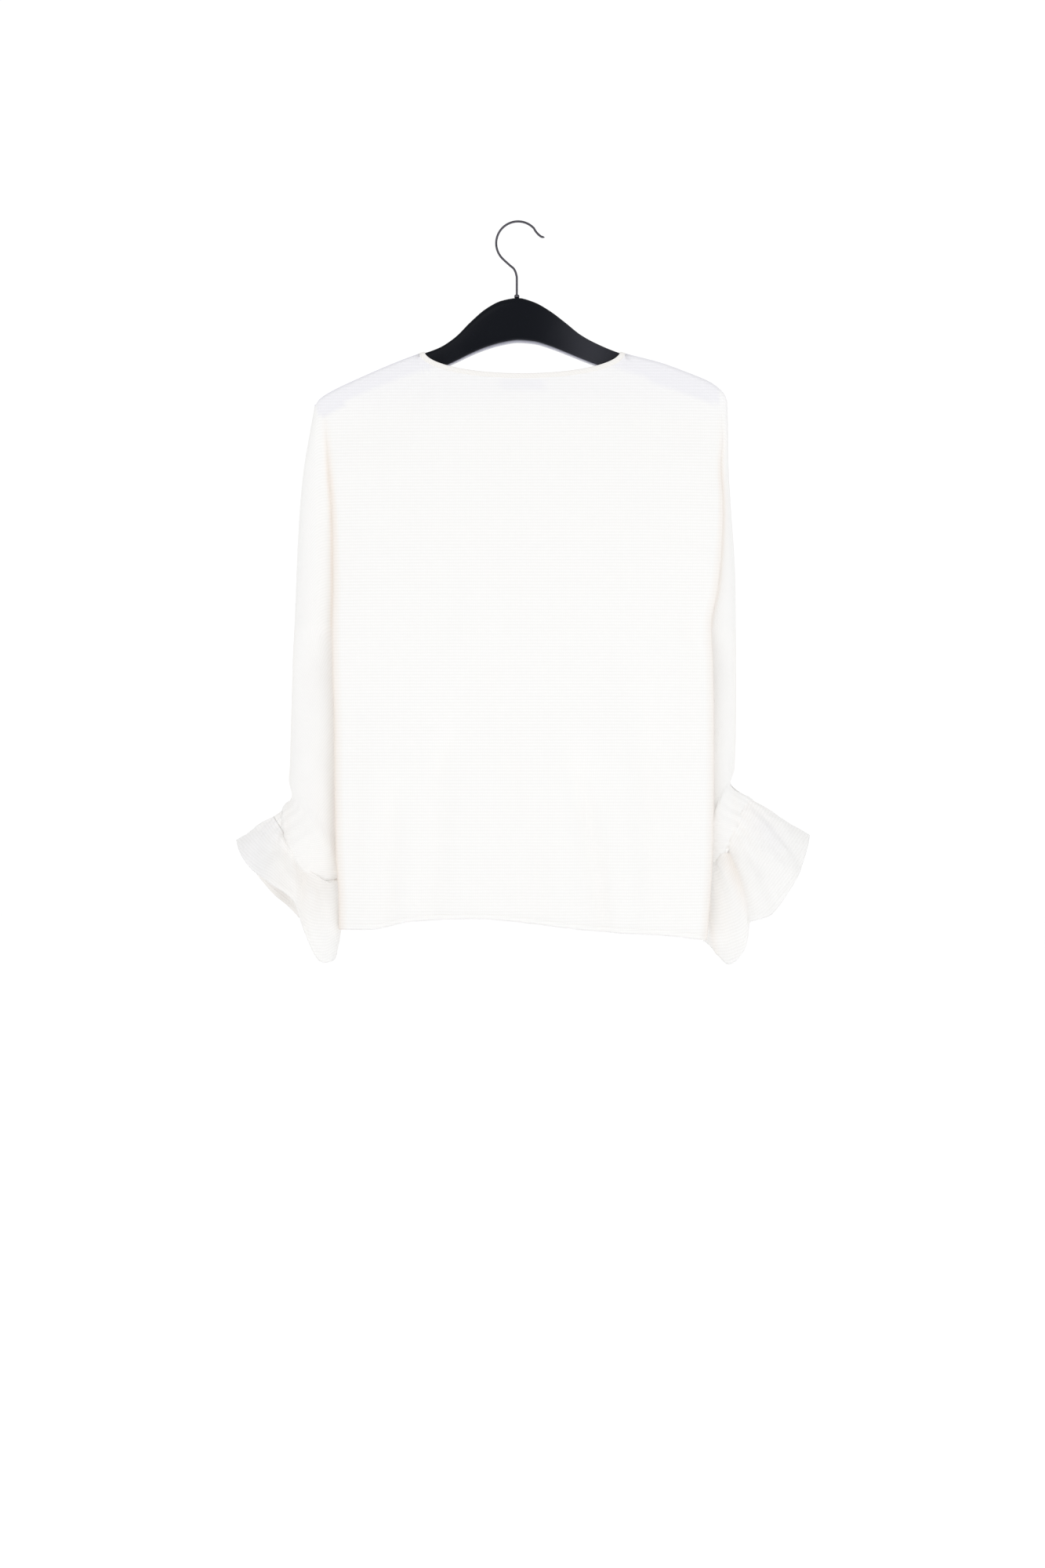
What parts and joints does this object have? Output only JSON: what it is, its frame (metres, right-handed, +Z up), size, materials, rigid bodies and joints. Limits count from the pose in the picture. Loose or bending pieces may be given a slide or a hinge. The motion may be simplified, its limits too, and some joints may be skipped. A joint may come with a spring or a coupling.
{
  "type": "blouse on a hanger",
  "caption": "Ivory crepe batwing blouse with a V neck in front, gathered wrists and deep flounce cuffs, hung with its back to the viewer on a black plastic hanger",
  "frame": {"origin": "inner top of the hook, where a rail bears", "axes": "+Z up, +X to the right as the back of the garment is seen, -Y out of the back of the garment"},
  "size_m": [0.6376, 0.0872, 0.8257],
  "materials": {
    "crepe_ivory": "matte waffle crepe, slightly see-through",
    "bias_binding": "matte",
    "plain_label": "matte",
    "black_plastic": "glossy",
    "chrome_wire": "polished"
  },
  "bodies": {
    "root": {"back_panel": "crepe_ivory", "front_panel": "crepe_ivory", "neck_binding": "bias_binding", "neck_label": "plain_label", "wrist_band_left": "crepe_ivory", "wrist_band_right": "crepe_ivory", "ruffle_left": "crepe_ivory", "ruffle_right": "crepe_ivory", "hanger_body": "black_plastic", "hanger_hook": "chrome_wire", "hook_collar": "chrome_wire"}
  },
  "joints": []
}
